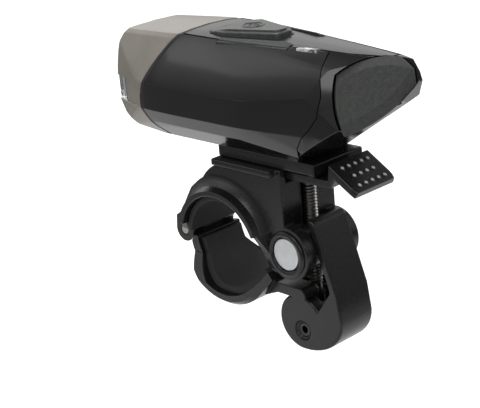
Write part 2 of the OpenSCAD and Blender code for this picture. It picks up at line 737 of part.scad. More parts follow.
// Zone behind the rear seam, which runs forward under the lamp
module tail_zone(shift) {
    across(far / 2) translate([shift, 0]) polygon([[rear_seam - 2, far], [rear_seam - 2, shoulder_z],
        [rear_seam + 0.3, band_top_z + 4], [rear_seam - 0.5, band_low_z + 6.5],
        [rear_seam - 4, band_low_z + 2], [rear_seam - 7, band_low_z - 1], [rear_seam - 9.4, floor_z + 6],
        [keel_y - 0.6, floor_z], [keel_y - 0.6, -far], [far, -far], [far, far]]);
}

// Bed of the top panel: a prism set in from the shoulders, above a plane that follows their drop
module panel_zone(inset, depth, front_shift, rear_shift) {
    ys = concat([cap_top_y - 4, cap_top_y + 2], [for (i = [-2:2]) waist_top_y + ease * i / 2],
        [tail_y, end_y]);
    difference() {
        intersection() {
            translate([0, 0, floor_z]) linear_extrude(far) polygon(concat(
                [for (y = ys) [max(eased(y, top_half) - inset, eps), y]],
                [for (i = [len(ys) - 1:-1:0]) [-max(eased(ys[i], top_half) - inset, eps), ys[i]]]));
            block([-far, cap_top_y + gasket_w + front_shift, 0], [far, stern_y - rear_shift, far]);
        }
        across(far / 2) polygon([[-far, 0], [-far, shoulder_z - depth], [cap_top_y, shoulder_z - depth],
            [end_y, shoulder_z - depth - top_drop], [end_y, 0]]);
    }
}

module main_housing() {
    color([0.05, 0.05, 0.055]) difference() {
        difference() {
            lamp_form();
            cap_zone(gasket_w + seat / 2);
            tail_zone(-seat / 2);
            panel_zone(0.6, cover_t, -1, -9);
        }
        lamp_form(wall);
        ridge_forms(seat / 2);
        charge_window_form(seat / 2);
        shoe_screw_places() cylinder(h = far / 10, d = screw_d + 2 * pin_fit, $fn = 32);
    }
}

module top_cover() {
    color([0.07, 0.07, 0.075]) difference() {
        intersection() {
            lamp_form();
            panel_zone(0.6 + seat, cover_t - seat, seat / 2, 9);
        }
        button_prism(run_gap, floor_z, far);
        ridge_forms(seat / 2);
        charge_window_form(seat / 2);
        flap_recess();
    }
}

module front_cap() {
    color([0.42, 0.39, 0.36]) difference() {
        intersection() {
            lamp_form();
            cap_zone(-seat / 2);
        }
        lamp_form(wall);
        front_window(0);
        side_windows(0);
    }
}

module cap_gasket() {
    color([0.03, 0.03, 0.03]) difference() {
        intersection() {
            lamp_form(trim_sink);
            cap_zone(gasket_w);
        }
        lamp_form(wall);
        cap_zone(0);
    }
}

// Opening for the beam, seen from the front
module front_window(shrink) {
    half = window_w / 2 - shrink;
    up = window_h / 2 - shrink;
    along(nose_y - 1, nose_y + 12) translate([0, beam_z])
        polygon(rounded([[-half, -up], [half, -up], [half, up], [-half, up]], window_corner));
}

// Openings in both sides at the height of the band
module side_windows(shrink) {
    across(far / 2) translate([nose_y - 1, band_low_z + shrink])
        square([side_window_len + 1 - shrink, band_h - 0.4 - 2 * shrink]);
}

module lens() {
    color([0.85, 0.9, 0.95, 0.6]) difference() {
        intersection() {
            lamp_form(trim_sink);
            union() {
                front_window(seat);
                side_windows(seat);
            }
        }
        lamp_form(trim_sink + lens_t);
    }
}

// Tail and charging port

// The cover is a leaf bounded by three arcs, each with its middle and radius, and by its blunt end
leaf_front = [flap_len - 0.6, 2, flap_len];
leaf_top = [flap_len * 0.65, 13.6 - flap_len * 1.03, flap_len * 1.03];
leaf_low = [-flap_len * 0.515, flap_len * 1.3, flap_len * 1.83];
rim_drop = 1.1;

module leaf_outline(grow) {
    intersection() {
        translate([leaf_front[0], leaf_front[1]]) circle(leaf_front[2] + grow, $fn = round_fn);
        translate([leaf_top[0], leaf_top[1]]) circle(leaf_top[2] + grow, $fn = round_fn);
        translate([leaf_low[0], leaf_low[1]]) circle(leaf_low[2] + grow, $fn = round_fn);
        translate([-far, -far]) square([far + flap_len + 0.2 + grow, 2 * far]);
    }
}

// One side of the leaf, with its face falling to the rim over a distance
module leaf_side(arc, run) {
    translate([arc[0], arc[1], 0]) rotate_extrude($fn = round_fn)
        polygon([[0, -flap_t], [arc[2], -flap_t], [arc[2], -rim_drop], [arc[2] - run, 0], [0, 0]]);
}

// Everything left of the lamp's middle plane, from a distance on
module left_of(x) {
    block([x, -far, -far], [far, far, far]);
}

module usb_cover() {
    color([0.2, 0.2, 0.2]) intersection() {
        on_tail() intersection() {
            leaf_side(leaf_front, 0.8);
            leaf_side(leaf_top, 2.6);
            leaf_side(leaf_low, 3.4);
            block([-far, -far, -far], [flap_len + 0.2, far, far]);
        }
        left_of(run_gap + 0.05);
    }
}

// Bed of the port cover in the tail
module flap_recess() {
    intersection() {
        on_tail() translate([0, 0, -flap_t - run_gap]) linear_extrude(far) leaf_outline(run_gap);
        left_of(0);
    }
}

module tail_cap() {
    color([0.05, 0.05, 0.055]) difference() {
        intersection() {
            lamp_form();
            tail_zone(seat / 2);
        }
        intersection() {
            lamp_form(wall);
            block([-far, -far, -far], [far, rear_seam + 2, far]);
        }
        panel_zone(0.6, cover_t, -1, 8.7);
        flap_recess();
        on_tail() socket_pocket(seat);
    }
}

socket_w = 9;
socket_h = 3.4;
socket_deep = 5.5;
socket_place = [flap_len * 0.42, 2, -flap_t - run_gap - socket_deep];

module socket_pocket(grow) {
    translate(socket_place - [socket_w / 2 + grow, socket_h / 2 + grow, 0])
        cube([socket_w + 2 * grow, socket_h + 2 * grow, socket_deep + eps]);
}

module usb_socket() {
    color("silver") on_tail() difference() {
        socket_pocket(0);
        translate(socket_place - [socket_w / 2 - 0.5, socket_h / 2 - 0.5, -1])
            cube([socket_w - 1, socket_h - 1, socket_deep]);
    }
}

// Button, ridges and charge indicator

button_y = -button_ahead;
function button_corners(grow) =
    let (front = button_w / 2 + grow, tail = button_tail_w / 2 + grow)
    let (y0 = button_y - grow, y1 = button_y + button_len * 0.28, y2 = button_y + button_len + grow)
    [[0.6 - front, y0], [front - 0.6, y0], [front, y1], [tail, y2], [-tail, y2], [-front, y1]];

module button_prism(grow, z0, z1) {
    translate([0, 0, z0]) linear_extrude(z1 - z0) polygon(rounded(button_corners(grow), 2.4));
}

button_mid_y = button_y + button_len * 0.45;
button_flange_z = shoulder_at(button_y + button_len) - cover_t - 0.2;
board_z = button_flange_z - 6.4;
switch_h = 3;
stem_low = board_z + switch_h + button_travel + seat;

// The button's face rises from its front edge over the ramp
module power_button() {
    top_z = shoulder_at(button_mid_y) + crown_at(button_mid_y) + button_h;
    front_z = shoulder_at(button_y) + crown_at(button_y) + 0.2;
    color([0.22, 0.22, 0.22]) {
        intersection() {
            union() {
                button_prism(0, button_flange_z - eps, top_z - 0.7);
                button_prism(-1, button_flange_z, top_z);
            }
            across(far / 2) polygon([[button_y - 1, 0], [button_y - 1, front_z], [button_y, front_z],
                [button_y + button_ramp, top_z + eps], [far, top_z + eps], [far, 0]]);
        }
        translate([0, button_mid_y, stem_low]) cylinder(h = button_flange_z - stem_low, d = 3.4, $fn = 32);
        button_prism(1.2, button_flange_z - 1, button_flange_z);
    }
}

ridge_y0 = waist_top_y - 0.5;
ridge_y1 = ridge_y0 + ridge_len;
ridge_w = 3.4;
sink = atan2(shoulder_at(ridge_y0) - shoulder_at(ridge_y1), ridge_len);
taper = atan2(eased(ridge_y0, top_half) - eased(ridge_y1, top_half), ridge_len);

// Rubber ridges let into both shoulders beside the button, sloping up inwards and to their rear ends
module ridge_forms(grow) {
    low_z = shoulder_at(ridge_y1) - 2 * bevel;
    on_both_sides() intersection() {
        translate([eased(ridge_y0, top_half) + bevel * 0.5, ridge_y0, shoulder_at(ridge_y0)])
            rotate([-sink, 0, 0]) rotate([0, 0, taper]) along(-grow, ridge_len + grow)
                polygon([[-ridge_w - grow, -bevel - grow], [grow, -bevel - grow], [grow, -0.5 + grow],
                    [-ridge_w - grow, ridge_h + grow]]);
        across(far / 2) polygon([[ridge_y0 - 5, low_z], [ridge_y0 - 5, shoulder_at(ridge_y0) + 0.2 + grow],
            [ridge_y1 - 3, shoulder_at(ridge_y1) + ridge_h + grow],
            [ridge_y1 + 1, shoulder_at(ridge_y1) + grow], [ridge_y1 + 5, low_z]]);
    }
}

module button_ridges() {
    color([0.16, 0.16, 0.16]) ridge_forms(0);
}

window_w0 = 1.8;

module charge_window_form(grow) {
    y0 = ridge_y1 + 3;
    translate([eased(y0, top_half) + bevel * 0.3, y0, shoulder_at(y0) - 1.6]) rotate([0, 0, taper])
        translate([-window_w0 - grow, -grow, 0])
            cube([window_w0 + 2 * grow, window_len + 2 * grow, 1.8 + grow]);
}

module charge_window() {
    color([0.9, 0.92, 0.92]) charge_window_form(0);
}

// Inner parts

module reflector() {
    steps = 8;
    throat = throat_d / 2;
    flare = reflector_d / 2 - throat;
    color([0.9, 0.9, 0.92]) translate([0, led_board_y - seat, beam_z]) rotate([90, 0, 0])
        rotate_extrude($fn = 64) polygon(concat(
            [for (i = [0:steps]) [throat + flare * sqrt(i / steps), reflector_len * i / steps]],
            [for (i = [steps:-1:0])
                [throat + reflector_wall + flare * sqrt(i / steps), reflector_len * i / steps]]));
}

module led() {
    color([0.95, 0.9, 0.5]) translate([0, led_board_y, beam_z]) rotate([90, 0, 0]) {
        translate([-led_w / 2, -led_w / 2, 0]) cube([led_w, led_w, led_w * 0.2]);
        translate([0, 0, led_w * 0.2 - eps]) intersection() {
            sphere(led_w * 0.4, $fn = 32);
            cylinder(h = led_w, r = led_w * 0.45, $fn = 32);
        }
    }
}

module led_board() {
    half = sink_w / 2;
    color([0.85, 0.85, 0.85]) block([-half, led_board_y, beam_z - half], [half, sink_y, beam_z + half]);
}

module heat_sink() {
    fins = 5;
    fin_t = 1.6;
    half = sink_w / 2;
    plate_t = sink_len / 2;
    low = floor_z + wall + 1.3;
    color([0.7, 0.7, 0.72]) {
        block([-half, sink_y, low], [half, sink_y + plate_t, beam_z + half]);
        for (i = [0:fins]) {
            x = -half + i * (sink_w - fin_t) / fins;
            block([x, sink_y + plate_t - eps, low], [x + fin_t, sink_y + sink_len, beam_z + half - 3]);
        }
    }
}

cell_z = floor_z + wall + 2 + cell_d / 2;

module battery_cell() {
    color([0.15, 0.35, 0.6]) translate([0, cell_y0, cell_z]) rotate([-90, 0, 0]) {
        cylinder(h = cell_len - 1.5, d = cell_d, $fn = round_fn);
        cylinder(h = cell_len, d = cell_d * 0.35, $fn = 48);
    }
}

// Cradle under the cell, with end stops and posts that carry the control board
module cell_cradle() {
    half = cell_d / 2 + 1.2;
    front = cell_y0 - seat - cell_stop;
    rear = cell_y0 + cell_len + seat;
    color([0.25, 0.25, 0.27]) difference() {
        union() {
            block([-half, front, floor_z + wall], [half, rear + cell_stop, cell_z - cell_d * 0.3]);
            for (y = [front, rear])
                block([-half, y, floor_z + wall], [half, y + cell_stop, cell_z + cell_d * 0.3]);
            on_both_sides() for (y = board_posts)
                block([cell_d / 2 + seat, y - 1.5, floor_z + wall + 1.5],
                    [half + 1, y + 1.5, board_z - board_t]);
        }
        translate([0, cell_y0 - seat, cell_z]) rotate([-90, 0, 0])
            cylinder(h = cell_len + 2 * seat, d = cell_d + 2 * seat, $fn = round_fn);
        tail_floor();
    }
}

board_y0 = cell_y0 + 14;
board_posts = [board_y0 + 3, board_y0 + board_len - 3];

// The floor rises towards the stern, so the cradle is cut to it
module tail_floor() {
    start = keel_y - 0.9 * wall - (cell_d / 2 + 3) * tan(keel_vee) / tan(keel_slope) - 0.5;
    across(far / 2) polygon([[start, floor_z + wall],
        [far, floor_z + wall + (far - start) * (tan(keel_slope) + 0.03)], [far, floor_z]]);
}

module control_board() {
    color([0.1, 0.4, 0.2]) block([-board_w / 2, board_y0, board_z - board_t],
        [board_w / 2, board_y0 + board_len, board_z]);
}

module tact_switch() {
    y = button_mid_y;
    color([0.2, 0.2, 0.22]) {
        block([-3, y - 3, board_z], [3, y + 3, board_z + switch_h - 1]);
        translate([0, y, board_z + switch_h - 1 - eps]) cylinder(h = 1 + eps, d = 3, $fn = 32);
    }
}

upper_jaw();
upper_pad();
lower_jaw();
lower_pad();
clamp_hinge_pin();
barrel_nut();
clamp_bolt();
cam_lever();
lever_pin();
release_tab();
mount_shoe();
shoe_screws();
main_housing();
top_cover();
front_cap();
cap_gasket();
lens();
tail_cap();
usb_cover();
usb_socket();
power_button();
button_ridges();
charge_window();
reflector();
led();
led_board();
heat_sink();
battery_cell();
cell_cradle();
control_board();
tact_switch();
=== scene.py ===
"""Bicycle headlight on a cam lever clamp: finishes its parts and sets its stage."""

import json
import math

import bmesh
import bpy
from bpy.props import FloatProperty, FloatVectorProperty, IntProperty, PointerProperty
from mathutils import Matrix, Vector
from mathutils.bvhtree import BVHTree


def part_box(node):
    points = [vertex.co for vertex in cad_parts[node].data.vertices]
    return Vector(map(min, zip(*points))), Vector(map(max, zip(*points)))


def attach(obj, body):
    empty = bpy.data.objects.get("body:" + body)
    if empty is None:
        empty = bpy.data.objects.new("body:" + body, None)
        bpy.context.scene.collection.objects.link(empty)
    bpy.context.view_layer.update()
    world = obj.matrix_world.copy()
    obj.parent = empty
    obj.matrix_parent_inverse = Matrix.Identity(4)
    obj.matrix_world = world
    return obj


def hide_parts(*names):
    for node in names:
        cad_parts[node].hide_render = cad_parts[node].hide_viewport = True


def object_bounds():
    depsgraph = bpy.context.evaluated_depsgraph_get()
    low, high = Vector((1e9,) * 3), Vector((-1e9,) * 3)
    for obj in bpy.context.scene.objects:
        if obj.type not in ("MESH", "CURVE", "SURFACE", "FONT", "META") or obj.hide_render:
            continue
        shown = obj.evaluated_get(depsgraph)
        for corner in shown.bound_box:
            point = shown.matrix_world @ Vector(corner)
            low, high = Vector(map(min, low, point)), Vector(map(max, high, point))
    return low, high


bl_info = {
    "name": "Bicycle headlight",
    "version": (1, 0, 0),
    "blender": (4, 5, 0),
    "location": "View3D > Sidebar > Headlight",
    "description": "Finishes the parts of a bicycle headlight and sets its stage",
    "category": "Object",
}

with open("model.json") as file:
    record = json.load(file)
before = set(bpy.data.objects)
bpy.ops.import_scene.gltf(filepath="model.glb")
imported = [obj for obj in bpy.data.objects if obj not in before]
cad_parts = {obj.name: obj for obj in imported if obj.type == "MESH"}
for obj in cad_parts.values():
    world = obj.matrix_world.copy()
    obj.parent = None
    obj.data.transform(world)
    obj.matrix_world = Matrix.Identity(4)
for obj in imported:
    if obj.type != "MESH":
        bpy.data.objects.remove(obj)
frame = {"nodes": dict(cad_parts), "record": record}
CAD_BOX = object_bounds()
MM = 0.001

# Rounding of edges
CLAMP_ANGLE = 28  # degrees; flatter edges of the clamp and lever stay unrounded
LINE_BEND = -0.64  # two edges run on as one line where the cosine between them is below this
SHARED_ROOM = 0.42  # part of a face's side that a rounding may take where that side is rounded too
FREE_ROOM = 0.8  # and where it is not
SHARP_CORNER = math.radians(60)
OPEN_CORNER = math.radians(127)
STRAY = 0.6  # part of the rounding's width that a corner may stand off the solid
SEAM_SHADOW_REACH = 0.9  # part of the rounding's width that a seam's painted shadow reaches

# Bulge of the shell's side panels
PANEL_HEIGHT = 17 * MM
PANEL_LEAN = 0.12, 0.85  # limits of the upward part of a panel's normal
PANEL_OUTWARD = 0.5  # least sideways part of a panel's normal
FOOT_LEAN = 10  # degrees at the panel's foot
ADDED_LEAN = 25  # degrees more at its top
BULGE = {"main_housing": 1.8, "tail_cap": 0.6}  # power by which the lean grows

SOFTBOXES = (  # name, place from the middle of the part, size and power
    ("top_softbox", (-0.12, -0.16, 0.80), 0.40, 4.6),
    ("camera_softbox", (0.62, 0.68, 0.40), 0.35, 1.4),
    ("side_softbox", (0.70, -0.66, 0.54), 0.50, 0.70),
    ("left_softbox", (0.75, 0.10, 0.70), 0.50, 2.6),
    ("right_softbox", (-0.85, 0.15, 0.30), 0.40, 1.5),
    ("front_softbox", (-0.05, -0.90, 0.45), 0.40, 1.2),
)


def colour_property(name, value, words):
    return FloatVectorProperty(name=name, description=words, default=value, subtype="COLOR", size=3,
                               min=0, max=1)


def length_property(name, value, words):
    return FloatProperty(name=name, description=words, default=value, subtype="DISTANCE", unit="LENGTH",
                         precision=5)


class HeadlightSizes(bpy.types.PropertyGroup):
    """Sizes of the details that the finish adds"""

    shell_round: length_property("Shell rounding", 0.0006, "Width of the rounded edges of the lamp's shells")
    clamp_round: length_property("Clamp rounding", 0.0006, "Width of the rounded edges of the clamp")
    metal_round: length_property("Metal rounding", 0.00025, "Width of the chamfers of the metal pieces")
    soft_round: length_property("Rubber rounding", 0.0006, "Width of the rounded edges of the rubber pieces")
    thread_pitch: length_property("Thread pitch", 0.0011, "Rise of the bolt's thread in one turn")
    thread_depth: length_property("Thread depth", 0.00055, "Depth of the bolt's thread")
    symbol_radius: length_property("Button sign", 0.0036, "Radius of the raised ring on the button")
    round_steps: IntProperty(name="Rounding steps", description="Faces across a rounded edge",
                             default=3, min=1, max=6)


class HeadlightColours(bpy.types.PropertyGroup):
    """Colours of the headlight's finishes"""

    shell: colour_property("Shell", (0.0075, 0.0075, 0.0080), "Gloss black of the housing and tail")
    cover: colour_property("Top panel", (0.0100, 0.0100, 0.0103), "Gloss black of the top panel")
    cap: colour_property("Front cap", (0.205, 0.186, 0.162), "Warm grey of the front cap")
    clamp: colour_property("Clamp", (0.0078, 0.0079, 0.0076), "Satin black of the clamp and lever")
    soft: colour_property("Soft rubber", (0.038, 0.041, 0.038), "Dark grey of the button and port cover")
    pad: colour_property("Clamp pads", (0.009, 0.009, 0.009), "Black of the clamp's pads")
    steel: colour_property("Steel", (0.46, 0.45, 0.43), "Bare steel of the pins, screws and bolt")
    nut: colour_property("Barrel nut", (0.74, 0.76, 0.77), "Satin silver of the barrel nut")


def sizes():
    return bpy.context.scene.headlight_sizes


def colours():
    return bpy.context.scene.headlight_colours


class Value:
    """A shader socket that can be added, subtracted, multiplied and raised to a power."""

    def __init__(self, maker, socket):
        self.maker = maker
        self.socket = socket

    def maths(self, operation, first, second):
        return self.maker.node("Math", {"operation": operation}, {0: first, 1: second})

    def __add__(self, other):
        return self.maths("ADD", self, other)

    def __sub__(self, other):
        return self.maths("SUBTRACT", self, other)

    def __rsub__(self, other):
        return self.maths("SUBTRACT", other, self)

    def __mul__(self, other):
        return self.maths("MULTIPLY", self, other)

    def __pow__(self, other):
        return self.maths("POWER", self, other)

    def __rpow__(self, other):
        return self.maths("POWER", other, self)

    __radd__ = __add__
    __rmul__ = __mul__

    def swing(self, width):
        """A mask from 0 to 1 as a change of half a width either way."""
        return (self - 0.5) * width

    def span(self, start, end, low=0.0, high=1.0):
        """Goes from low to high as the socket goes from start to end."""
        return self.maker.node("MapRange", None, {"Value": self, "From Min": start, "From Max": end,
                                                  "To Min": low, "To Max": high})

    def waves(self, pitch):
        """Waves between -1 and 1 that repeat at a pitch."""
        return self.maker.node("Math", {"operation": "SINE"}, {0: self * (2 * math.pi / pitch)})


class Nodes:
    """Makes and joins the nodes of one tree."""

    def __init__(self, tree):
        self.tree = tree

    def feed(self, socket, value):
        if isinstance(value, Value):
            self.tree.links.new(value.socket, socket)
        elif socket.type == "RGBA" and len(value) == 3:
            socket.default_value = (*value, 1)
        else:
            socket.default_value = value

    def node(self, kind, settings=None, inputs=None, out=0):
        made = self.tree.nodes.new("ShaderNode" + kind)
        for key, value in (settings or {}).items():
            if key == "stops":
                ramp = made.color_ramp
                while len(ramp.elements) < len(value):
                    ramp.elements.new(0.5)
                for element, (position, shade) in zip(ramp.elements, value):
                    element.position = position
                    element.color = (shade, shade, shade, 1)
            else:
                setattr(made, key, value)
        for key, value in (inputs or {}).items():
            self.feed(made.inputs[key], value)
        return Value(self, made.outputs[out])


class Finish(Nodes):
    """One material: its shader, and the nodes that give its colour, gloss and grain."""

    def __init__(self, name, **constants):
        self.material = bpy.data.materials.new(name)
        self.material.use_nodes = True
        super().__init__(self.material.node_tree)
        self.shader = self.tree.nodes["Principled BSDF"]
        for key, value in constants.items():
            self.feed(self.shader.inputs[key.replace("_", " ").title().replace("Ior", "IOR")], value)
        self.place = self.node("TexCoord", out="Object")

    def noise(self, scale, detail=2.0, rough=0.5):
        return self.node("TexNoise", None, {"Vector": self.place, "Scale": scale, "Detail": detail,
                                            "Roughness": rough})

    def specks(self, scale, amount):
        """Small scattered dots: 1 on a dot, 0 between."""
        cells = self.node("TexVoronoi", {"feature": "F1"}, {"Vector": self.place, "Scale": scale})
        return cells.span(amount, amount * 0.6)

    def axis(self, name):
        return self.node("SeparateXYZ", None, {0: self.place}, out=name)

    def edges(self, radius, flat=0.995, sharp=0.80):
        """1 along sharp edges, falling to 0 over a distance; flat and sharp are cosines of the turn."""
        bent = self.node("Bevel", {"samples": 6}, {"Radius": radius})
        straight = self.node("NewGeometry", out="Normal")
        turn = self.node("VectorMath", {"operation": "DOT_PRODUCT"}, {0: bent, 1: straight}, out="Value")
        return turn.span(flat, sharp)

    def blend(self, mask, first, second):
        return self.node("Mix", {"data_type": "RGBA"}, {"Factor": mask, 6: first, 7: second}, out=2)

    def mottled(self, mask, colour, dark, light):
        """A colour that changes between a darker and a lighter shade of itself."""
        return self.blend(mask, shade(colour, dark), shade(colour, light))

    def rubbed(self, base, pale, radius, scale, wear):
        """A colour that turns pale in patches along the edges."""
        return self.blend(self.edges(radius) * self.noise(scale, detail=3) * wear, base, pale)

    def colour(self, value):
        self.feed(self.shader.inputs["Base Color"], value)

    def roughness(self, value):
        self.feed(self.shader.inputs["Roughness"], value)

    def relief(self, height, depth, strength):
        bump = self.node("Bump", None, {"Height": height, "Distance": depth, "Strength": strength})
        self.feed(self.shader.inputs["Normal"], bump)


def shade(colour, factor):
    return tuple(min(1.0, part * factor) for part in colour)


def grey(level):
    return (level, level, level)


def moulded(name, colour, rough, grain, depth, wear=0.0):
    """Moulded plastic: a soft change of tone, a fine grain in its gloss, and paler rubbed edges."""
    finish = Finish(name, specular_ior_level=0.5)
    tone = finish.noise(scale=60, detail=3)
    fine = finish.noise(grain)
    base = finish.mottled(tone, colour, dark=0.8, light=1.25)
    if wear:
        base = finish.rubbed(base, shade(colour, 6.0), radius=0.7 * MM, scale=300, wear=wear)
    finish.colour(base)
    finish.roughness(rough + tone.swing(0.05) + fine.swing(0.05))
    finish.relief(tone, depth, strength=0.5)
    return finish.material


def grained(name, colour, rough, grain, depth, pale=0.0, wear=0.0, shine=0.5):
    """Speckled, spark-eroded plastic or rubber: pits, pale specks and rubbed edges."""
    finish = Finish(name, specular_ior_level=shine)
    pits = finish.noise(grain, detail=3, rough=0.7)
    dots = finish.specks(grain * 0.62, amount=0.36)
    tone = finish.noise(scale=760, detail=3, rough=0.6)
    base = finish.mottled(tone, colour, dark=0.45, light=1.6)
    base = finish.blend(dots * pale, base, shade(colour, 4.5))
    if wear:
        base = finish.rubbed(base, shade(colour, 7.0), radius=0.8 * MM, scale=420, wear=wear)
    finish.colour(base)
    finish.roughness(rough + pits.swing(0.3))
    finish.relief(pits, depth, strength=0.6)
    return finish.material


def turned(name, colour, rough, centre, axis, pitch):
    """Turned metal: fine rings round an axis, with a little tarnish."""
    finish = Finish(name, metallic=1.0)
    parts = [finish.axis(letter) - centre[i] for i, letter in enumerate("XYZ") if letter != axis]
    reach = (parts[0] * parts[0] + parts[1] * parts[1]) ** 0.5
    rings = reach.waves(pitch)
    tarnish = finish.noise(scale=220, detail=4, rough=0.6)
    finish.colour(finish.mottled(tarnish, colour, dark=0.62, light=1.1))
    finish.roughness(rough + tarnish.swing(0.22) + rings * 0.03)
    finish.relief(rings, 0.006 * MM, strength=0.4)
    return finish.material


def plain_metal(name, colour, rough, grain=500.0):
    """Cast or plated metal with a soft grain."""
    finish = Finish(name, metallic=1.0)
    cloud = finish.noise(grain, detail=4, rough=0.6)
    finish.colour(finish.mottled(cloud, colour, dark=0.7, light=1.1))
    finish.roughness(rough + cloud.swing(0.2))
    finish.relief(cloud, 0.01 * MM, strength=0.4)
    return finish.material


def lens_finish():
    """Clear moulded plastic with upright flutes that spread the beam."""
    finish = Finish("clear_lens", base_color=(0.96, 0.98, 1.0), transmission_weight=1.0, ior=1.49)
    haze = finish.noise(scale=120)
    flutes = finish.axis("X").waves(1.4 * MM)
    finish.roughness(0.04 + haze * 0.04)
    finish.relief(flutes, 0.05 * MM, strength=0.5)
    return finish.material


def guide_finish():
    """Light guide of the charge indicator: dark grey, with pale patches that are painted glints."""
    finish = Finish("light_guide", transmission_weight=0.35, ior=1.49, specular_ior_level=0.6)
    cloud = finish.noise(scale=620, detail=3).span(0.40, 0.56)
    # the cloud's pale patches are painted glints on the dark guide
    finish.colour(finish.blend(cloud, (0.16, 0.17, 0.17), (0.95, 0.96, 0.95)))
    finish.roughness(0.12 + cloud * 0.12)
    finish.relief(cloud, 0.08 * MM, strength=0.6)
    return finish.material


def board_finish(name, colour, track):
    """Circuit board with its tracks under the lacquer."""
    finish = Finish(name, specular_ior_level=0.5)
    cells = finish.node("TexBrick", {"offset": 0.5},
                        {"Vector": finish.place, "Scale": 260.0, "Mortar Size": 0.06}, out="Fac")
    tone = finish.noise(scale=150)
    finish.colour(finish.blend(cells, finish.mottled(tone, colour, dark=0.8, light=1.15), track))
    finish.roughness(0.35 + tone.swing(0.15))
    finish.relief(cells, 0.03 * MM, strength=0.4)
    return finish.material


FINISHES = {}


def make_finishes():
    tint = colours()
    nut = centre_of("barrel_nut")
    pin = centre_of("lever_pin")
    light = centre_of("reflector")
    FINISHES.update({
        "clamp_black": grained("clamp_black", tint.clamp, rough=0.23, grain=2200, depth=0.05 * MM,
                               pale=0.16, wear=0.9, shine=0.36),
        "pad_rubber": grained("pad_rubber", tint.pad, rough=0.72, grain=1800, depth=0.06 * MM, pale=0.05),
        "steel": turned("pin_steel", tint.steel, rough=0.30, centre=pin, axis="X", pitch=0.22 * MM),
        "pin_dark": turned("pin_dark", shade(tint.steel, 0.16), rough=0.34, centre=pin, axis="X",
                           pitch=0.22 * MM),
        # painted glints: the tips of the tab's bumps in a pale shade of the clamp's black
        "painted_bump_glint": moulded("painted_bump_glint", shade(tint.clamp, 60), rough=0.3, grain=1500, depth=0.01 * MM),
        "button_rubber": grained("button_rubber", shade(tint.soft, 1.35), rough=0.34, grain=2000,
                                 depth=0.08 * MM, pale=0.12, wear=0.1),
        "nut_silver": turned("nut_silver", tint.nut, rough=0.50, centre=nut, axis="X", pitch=0.3 * MM),
        "bolt_steel": plain_metal("bolt_steel", shade(tint.steel, 0.55), rough=0.30, grain=900),
        "body_black": moulded("shell_black", tint.shell, rough=0.17, grain=1100, depth=0.02 * MM, wear=0.05),
        "cover_black": moulded("panel_black", tint.cover, rough=0.20, grain=1100, depth=0.02 * MM, wear=0.05),
        "cap_grey": moulded("cap_grey", tint.cap, rough=0.22, grain=1100, depth=0.02 * MM),
        "gasket_black": grained("gasket_black", shade(tint.pad, 0.6), rough=0.6, grain=1500, depth=0.03 * MM),
        # painted shadow: near black, for the gaps between the shell's pieces
        "painted_seam_shadow": grained("painted_seam_shadow", shade(tint.pad, 0.12), rough=0.8, grain=1500, depth=0.02 * MM,
                              shine=0.05),
        "lens_clear": lens_finish(),
        "soft_grey": grained("soft_grey", shade(tint.soft, 0.85), rough=0.62, grain=2400, depth=0.09 * MM,
                             pale=0.16, wear=0.12),
        "ridge_rubber": grained("ridge_rubber", shade(tint.soft, 0.55), rough=0.6, grain=1500,
                                depth=0.12 * MM, pale=0.25, wear=0.2),
        "indicator": guide_finish(),
        "socket_metal": plain_metal("socket_metal", grey(0.5), rough=0.3),
        "reflector_mirror": turned("reflector_mirror", grey(0.9), rough=0.10, centre=light, axis="Y",
                                   pitch=0.5 * MM),
        "led_yellow": moulded("led_yellow", (0.80, 0.62, 0.16), rough=0.35, grain=1500, depth=0.01 * MM),
        "board_white": board_finish("board_white", (0.72, 0.72, 0.70), track=(0.58, 0.56, 0.48)),
        "sink_alu": plain_metal("sink_alu", (0.62, 0.62, 0.64), rough=0.42),
        "cell_wrap": moulded("cell_wrap", (0.05, 0.15, 0.38), rough=0.32, grain=700, depth=0.01 * MM),
        "cradle_grey": grained("cradle_grey", (0.045, 0.045, 0.05), rough=0.55, grain=1800, depth=0.03 * MM,
                               pale=0.08),
        "board_green": board_finish("board_green", (0.015, 0.12, 0.05), track=(0.05, 0.20, 0.08)),
    })


def centre_of(node):
    low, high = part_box(node)
    return (low + high) / 2


def body_of(node):
    return next(body for body, members in frame["record"]["behaviour"]["bodies"].items() if node in members)


def slot_of(node):
    return next(part["material_slot"] for part in frame["record"]["subparts"] if part["node"] == node)


def surface_of(node):
    solid = frame["nodes"][node].data
    return BVHTree.FromPolygons([vertex.co for vertex in solid.vertices],
                                [face.vertices for face in solid.polygons])


def alone(obj):
    """Leaves one object selected and active."""
    bpy.ops.object.select_all(action="DESELECT")
    obj.select_set(True)
    bpy.context.view_layer.objects.active = obj


def edit(obj):
    alone(obj)
    bpy.ops.object.mode_set(mode="EDIT")
    bpy.ops.mesh.select_all(action="SELECT")


def done():
    bpy.ops.object.mode_set(mode="OBJECT")


def apply(obj, kind, **settings):
    modifier = obj.modifiers.new(kind.title(), kind)
    for key, value in settings.items():
        setattr(modifier, key, value)
    alone(obj)
    bpy.ops.object.modifier_apply(modifier=modifier.name)


def settle(obj):
    """Puts an object's place into its mesh."""
    alone(obj)
    bpy.ops.object.transform_apply(location=True, rotation=True, scale=True)


def added(primitive, **settings):
    """A new primitive, with its place in its mesh."""
    bpy.ops.object.select_all(action="DESELECT")
    primitive(**settings)
    obj = bpy.context.object
    settle(obj)
    return obj


def joined(name, first, *others):
    """Several objects as one, under a new name."""
    alone(first)
    for other in others:
        other.select_set(True)
    bpy.ops.object.join()
    first.name = name
    return first


def stretch(obj, factors, centre):
    edit(obj)
    bpy.ops.transform.resize(value=factors, center_override=centre)
    done()


def break_edges(obj, width):
    """Takes the sharp edges off a cut or turned end."""
    apply(obj, "BEVEL", width=width, segments=2, limit_method="ANGLE", angle_limit=math.radians(50))


